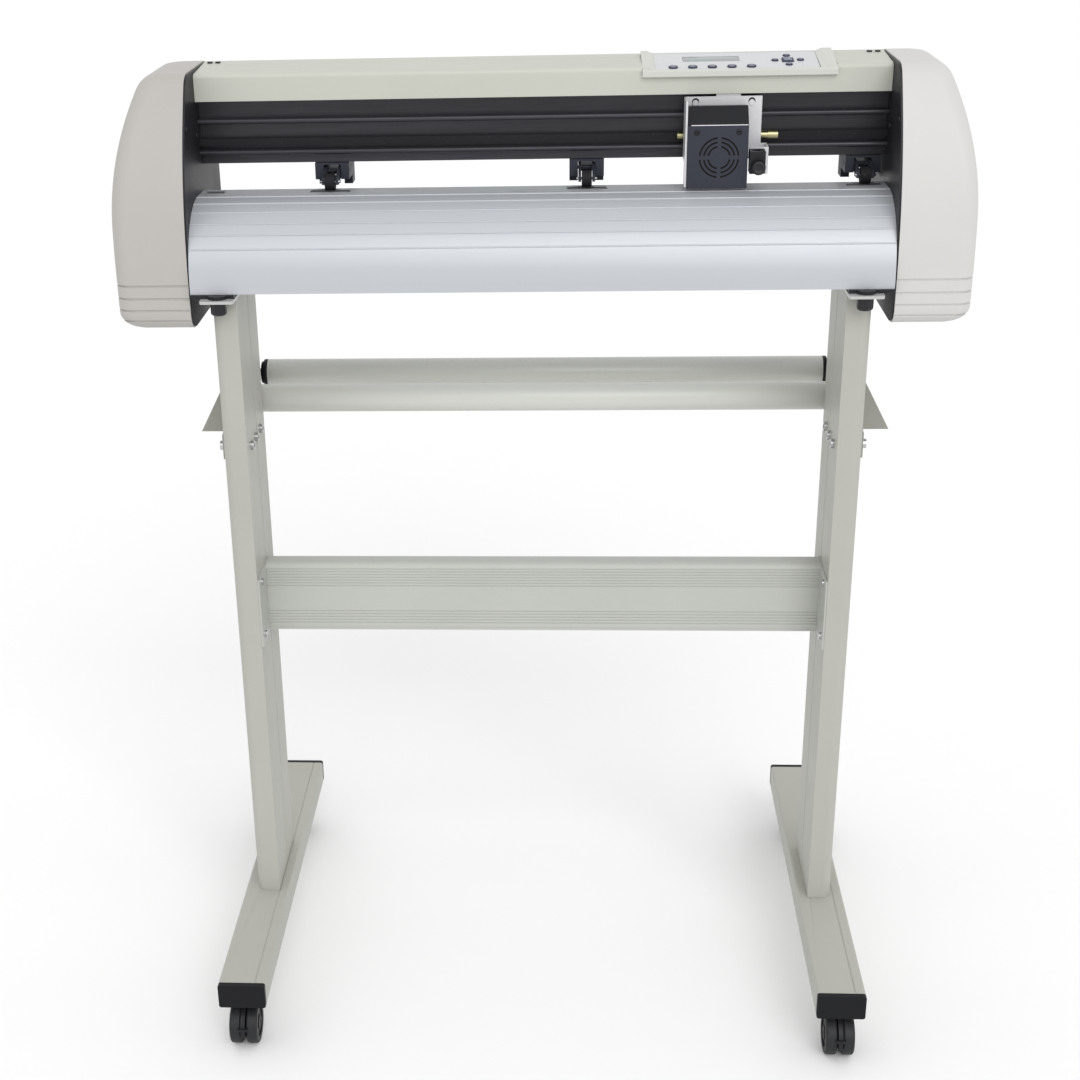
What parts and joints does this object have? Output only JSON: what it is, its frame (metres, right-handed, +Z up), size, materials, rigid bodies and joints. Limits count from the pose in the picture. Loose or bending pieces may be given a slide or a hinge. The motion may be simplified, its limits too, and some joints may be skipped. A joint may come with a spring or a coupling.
{
  "type": "vinyl cutting plotter with stand",
  "caption": "Roll-fed vinyl cutting plotter with a sliding tool carriage, pinch rollers and control panel, on a stand with casters.",
  "frame": {"origin": "on the floor, in the middle of the bounding box's base, which is the middle of the four casters", "axes": "+X along the machine to the operator's right, +Y from the operator's side to the back, +Z up"},
  "size_m": [0.918, 0.5382, 1.0848],
  "materials": {
    "stand_paint": "fine textured powder coat",
    "panel_paint": "fine textured powder coat",
    "bracket_paint": "fine textured powder coat",
    "roller_paint": "satin paint",
    "cap_plastic": "moulded",
    "caster_plastic": "moulded nylon",
    "tread": "worn",
    "steel": "zinc plated",
    "plate_silver": "satin",
    "knob_plastic": "moulded",
    "cover_left": "fine moulded texture",
    "cover_right": "fine moulded texture",
    "cover_top": "satin paint",
    "black_metal": "satin black",
    "black_anodised": "black anodised",
    "silver_anodised": "satin anodised",
    "panel_plastic": "moulded",
    "panel_film": "printed film",
    "key_rubber": "moulded silicone",
    "grit_steel": "grit coated",
    "pulley_metal": "machined",
    "belt_rubber": "matt",
    "motor_metal": "satin black",
    "board_green": "solder resist",
    "supply_metal": "sheet",
    "carriage_metal": "bent sheet",
    "carriage_plastic": "moulded",
    "coil_tape": "wound and taped",
    "brass": "turned"
  },
  "bodies": {
    "root": {"foot_beams": "stand_paint", "foot_end_caps": "cap_plastic", "uprights": "stand_paint", "cross_panel": "panel_paint", "stand_plates": "plate_silver", "roll_brackets": "bracket_paint", "fasteners": "steel", "side_plates": "black_metal", "side_cover_left": "cover_left", "side_cover_right": "cover_right", "top_cover": "cover_top", "guide_rail": "black_anodised", "platen": "silver_anodised", "panel_bezel": "panel_plastic", "panel_overlay": "panel_film", "stepper_motors": "motor_metal", "main_board": "board_green", "power_supply": "supply_metal", "carriage_belt": "belt_rubber"},
    "carriage": {"carriage_plate": "carriage_metal", "carriage_cover": "carriage_plastic", "tool_solenoid": "coil_tape", "belt_clamps": "brass"},
    "tool_slide": {"tool_slide": "black_metal"},
    "tool_knob": {"tool_knob": "knob_plastic"},
    "feed_shaft": {"feed_shaft": "grit_steel"},
    "drive_pulley": {"drive_pulley": "pulley_metal"},
    "idler_pulley": {"idler_pulley": "pulley_metal"},
    "media_roller_front": {"media_roller_front": "roller_paint"},
    "media_roller_rear": {"media_roller_rear": "roller_paint"},
    "clamp_knob_left": {"clamp_knob_left": "knob_plastic"},
    "clamp_knob_right": {"clamp_knob_right": "knob_plastic"},
    "power_switch": {"power_switch": "knob_plastic"},
    "caster_fork_front_left": {"caster_fork_front_left": "caster_plastic"},
    "caster_wheels_front_left": {"caster_wheels_front_left": "tread"},
    "caster_fork_front_right": {"caster_fork_front_right": "caster_plastic"},
    "caster_wheels_front_right": {"caster_wheels_front_right": "tread"},
    "caster_fork_rear_left": {"caster_fork_rear_left": "caster_plastic"},
    "caster_wheels_rear_left": {"caster_wheels_rear_left": "tread"},
    "caster_fork_rear_right": {"caster_fork_rear_right": "caster_plastic"},
    "caster_wheels_rear_right": {"caster_wheels_rear_right": "tread"},
    "key_function_1": {"key_function_1": "key_rubber"},
    "key_function_2": {"key_function_2": "key_rubber"},
    "key_function_3": {"key_function_3": "key_rubber"},
    "key_function_4": {"key_function_4": "key_rubber"},
    "key_function_5": {"key_function_5": "key_rubber"},
    "key_up": {"key_up": "key_rubber"},
    "key_down": {"key_down": "key_rubber"},
    "key_left": {"key_left": "key_rubber"},
    "key_right": {"key_right": "key_rubber"},
    "key_enter": {"key_enter": "key_rubber"},
    "pinch_slider_left": {"pinch_slider_left": "carriage_plastic"},
    "pinch_arm_left": {"pinch_arm_left": "carriage_plastic"},
    "pinch_wheel_left": {"pinch_wheel_left": "belt_rubber"},
    "pinch_slider_middle": {"pinch_slider_middle": "carriage_plastic"},
    "pinch_arm_middle": {"pinch_arm_middle": "carriage_plastic"},
    "pinch_wheel_middle": {"pinch_wheel_middle": "belt_rubber"},
    "pinch_slider_right": {"pinch_slider_right": "carriage_plastic"},
    "pinch_arm_right": {"pinch_arm_right": "carriage_plastic"},
    "pinch_wheel_right": {"pinch_wheel_right": "belt_rubber"}
  },
  "joints": [
    {"name": "carriage_travel", "type": "slide", "parent": "root", "child": "carriage", "axis": [1, 0, 0], "range_m": [-0.515, 0.112]},
    {"name": "tool_lower", "type": "slide", "parent": "carriage", "child": "tool_slide", "axis": [0, 0, -1], "range_m": [0, 0.004], "stiffness_N_per_m": 300, "springref_m": -0.004},
    {"name": "tool_knob_turn", "type": "hinge", "parent": "tool_slide", "child": "tool_knob", "pos_m": [0.233, -0.024, 0.977], "axis": [0, 1, 0], "range_deg": [0, 360]},
    {"name": "feed_turn", "type": "hinge", "parent": "root", "child": "feed_shaft", "pos_m": [0, 0.02, 0.9435], "axis": [1, 0, 0], "continuous": true},
    {"name": "drive_pulley_turn", "type": "hinge", "parent": "root", "child": "drive_pulley", "pos_m": [0.4, 0.049, 1.001], "axis": [0, 0, 1], "range_deg": [-2500, 560]},
    {"name": "idler_pulley_turn", "type": "hinge", "parent": "root", "child": "idler_pulley", "pos_m": [-0.4, 0.049, 1.001], "axis": [0, 0, 1], "range_deg": [-2500, 560]},
    {"name": "media_roller_front_turn", "type": "hinge", "parent": "root", "child": "media_roller_front", "pos_m": [0, 0.075, 0.694], "axis": [1, 0, 0], "continuous": true},
    {"name": "media_roller_rear_turn", "type": "hinge", "parent": "root", "child": "media_roller_rear", "pos_m": [0, 0.18, 0.694], "axis": [1, 0, 0], "continuous": true},
    {"name": "clamp_knob_left_turn", "type": "hinge", "parent": "root", "child": "clamp_knob_left", "pos_m": [-0.345, -0.082, 0.845], "axis": [0, 0, 1], "range_deg": [0, 720]},
    {"name": "clamp_knob_right_turn", "type": "hinge", "parent": "root", "child": "clamp_knob_right", "pos_m": [0.345, -0.082, 0.845], "axis": [0, 0, 1], "range_deg": [0, 720]},
    {"name": "power_switch_rock", "type": "hinge", "parent": "root", "child": "power_switch", "pos_m": [-0.389, 0.131, 0.848], "axis": [1, 0, 0], "range_deg": [0, 16]},
    {"name": "caster_swivel_front_left", "type": "hinge", "parent": "root", "child": "caster_fork_front_left", "pos_m": [-0.346, -0.226, 0.06], "axis": [0, 0, 1], "continuous": true},
    {"name": "caster_spin_front_left", "type": "hinge", "parent": "caster_fork_front_left", "child": "caster_wheels_front_left", "pos_m": [-0.346, -0.243, 0.025], "axis": [1, 0, 0], "continuous": true},
    {"name": "caster_swivel_front_right", "type": "hinge", "parent": "root", "child": "caster_fork_front_right", "pos_m": [0.346, -0.226, 0.06], "axis": [0, 0, 1], "continuous": true},
    {"name": "caster_spin_front_right", "type": "hinge", "parent": "caster_fork_front_right", "child": "caster_wheels_front_right", "pos_m": [0.346, -0.243, 0.025], "axis": [1, 0, 0], "continuous": true},
    {"name": "caster_swivel_rear_left", "type": "hinge", "parent": "root", "child": "caster_fork_rear_left", "pos_m": [-0.346, 0.226, 0.06], "axis": [0, 0, 1], "continuous": true},
    {"name": "caster_spin_rear_left", "type": "hinge", "parent": "caster_fork_rear_left", "child": "caster_wheels_rear_left", "pos_m": [-0.363, 0.226, 0.025], "axis": [0, 1, 0], "continuous": true},
    {"name": "caster_swivel_rear_right", "type": "hinge", "parent": "root", "child": "caster_fork_rear_right", "pos_m": [0.346, 0.226, 0.06], "axis": [0, 0, 1], "continuous": true},
    {"name": "caster_spin_rear_right", "type": "hinge", "parent": "caster_fork_rear_right", "child": "caster_wheels_rear_right", "pos_m": [0.363, 0.226, 0.025], "axis": [0, 1, 0], "continuous": true},
    {"name": "key_function_1_press", "type": "slide", "parent": "root", "child": "key_function_1", "axis": [0, 0.1564, -0.9877], "range_m": [0, 0.0008], "stiffness_N_per_m": 400, "springref_m": -0.0005},
    {"name": "key_function_2_press", "type": "slide", "parent": "root", "child": "key_function_2", "axis": [0, 0.1564, -0.9877], "range_m": [0, 0.0008], "stiffness_N_per_m": 400, "springref_m": -0.0005},
    {"name": "key_function_3_press", "type": "slide", "parent": "root", "child": "key_function_3", "axis": [0, 0.1564, -0.9877], "range_m": [0, 0.0008], "stiffness_N_per_m": 400, "springref_m": -0.0005},
    {"name": "key_function_4_press", "type": "slide", "parent": "root", "child": "key_function_4", "axis": [0, 0.1564, -0.9877], "range_m": [0, 0.0008], "stiffness_N_per_m": 400, "springref_m": -0.0005},
    {"name": "key_function_5_press", "type": "slide", "parent": "root", "child": "key_function_5", "axis": [0, 0.1564, -0.9877], "range_m": [0, 0.0008], "stiffness_N_per_m": 400, "springref_m": -0.0005},
    {"name": "key_up_press", "type": "slide", "parent": "root", "child": "key_up", "axis": [0, 0.1564, -0.9877], "range_m": [0, 0.0008], "stiffness_N_per_m": 400, "springref_m": -0.0005},
    {"name": "key_down_press", "type": "slide", "parent": "root", "child": "key_down", "axis": [0, 0.1564, -0.9877], "range_m": [0, 0.0008], "stiffness_N_per_m": 400, "springref_m": -0.0005},
    {"name": "key_left_press", "type": "slide", "parent": "root", "child": "key_left", "axis": [0, 0.1564, -0.9877], "range_m": [0, 0.0008], "stiffness_N_per_m": 400, "springref_m": -0.0005},
    {"name": "key_right_press", "type": "slide", "parent": "root", "child": "key_right", "axis": [0, 0.1564, -0.9877], "range_m": [0, 0.0008], "stiffness_N_per_m": 400, "springref_m": -0.0005},
    {"name": "key_enter_press", "type": "slide", "parent": "root", "child": "key_enter", "axis": [0, 0.1564, -0.9877], "range_m": [0, 0.0008], "stiffness_N_per_m": 400, "springref_m": -0.0005},
    {"name": "pinch_move_left", "type": "slide", "parent": "root", "child": "pinch_slider_left", "axis": [1, 0, 0], "range_m": [-0.12, 0.1]},
    {"name": "pinch_lift_left", "type": "hinge", "parent": "pinch_slider_left", "child": "pinch_arm_left", "pos_m": [-0.23, 0.048, 0.967], "axis": [-1, 0, 0], "range_deg": [0, 8], "stiffness_Nm_per_rad": 0.5, "springref_deg": -11.46},
    {"name": "pinch_turn_left", "type": "hinge", "parent": "pinch_arm_left", "child": "pinch_wheel_left", "pos_m": [-0.23, 0.02, 0.9598], "axis": [1, 0, 0], "continuous": true},
    {"name": "pinch_move_middle", "type": "slide", "parent": "root", "child": "pinch_slider_middle", "axis": [1, 0, 0], "range_m": [-0.1, 0.13]},
    {"name": "pinch_lift_middle", "type": "hinge", "parent": "pinch_slider_middle", "child": "pinch_arm_middle", "pos_m": [0.052, 0.048, 0.967], "axis": [-1, 0, 0], "range_deg": [0, 8], "stiffness_Nm_per_rad": 0.5, "springref_deg": -11.46},
    {"name": "pinch_turn_middle", "type": "hinge", "parent": "pinch_arm_middle", "child": "pinch_wheel_middle", "pos_m": [0.052, 0.02, 0.9598], "axis": [1, 0, 0], "continuous": true},
    {"name": "pinch_move_right", "type": "slide", "parent": "root", "child": "pinch_slider_right", "axis": [1, 0, 0], "range_m": [-0.12, 0]},
    {"name": "pinch_lift_right", "type": "hinge", "parent": "pinch_slider_right", "child": "pinch_arm_right", "pos_m": [0.352, 0.048, 0.967], "axis": [-1, 0, 0], "range_deg": [0, 8], "stiffness_Nm_per_rad": 0.5, "springref_deg": -11.46},
    {"name": "pinch_turn_right", "type": "hinge", "parent": "pinch_arm_right", "child": "pinch_wheel_right", "pos_m": [0.352, 0.02, 0.9598], "axis": [1, 0, 0], "continuous": true}
  ],
  "couplings": [
    {"joint": "drive_pulley_turn", "follows": "carriage_travel", "rad_per_m": 83.333},
    {"joint": "idler_pulley_turn", "follows": "carriage_travel", "rad_per_m": 83.333},
    {"joint": "pinch_turn_left", "follows": "feed_turn", "ratio": -0.77778},
    {"joint": "pinch_turn_middle", "follows": "feed_turn", "ratio": -0.77778},
    {"joint": "pinch_turn_right", "follows": "feed_turn", "ratio": -0.77778}
  ]
}
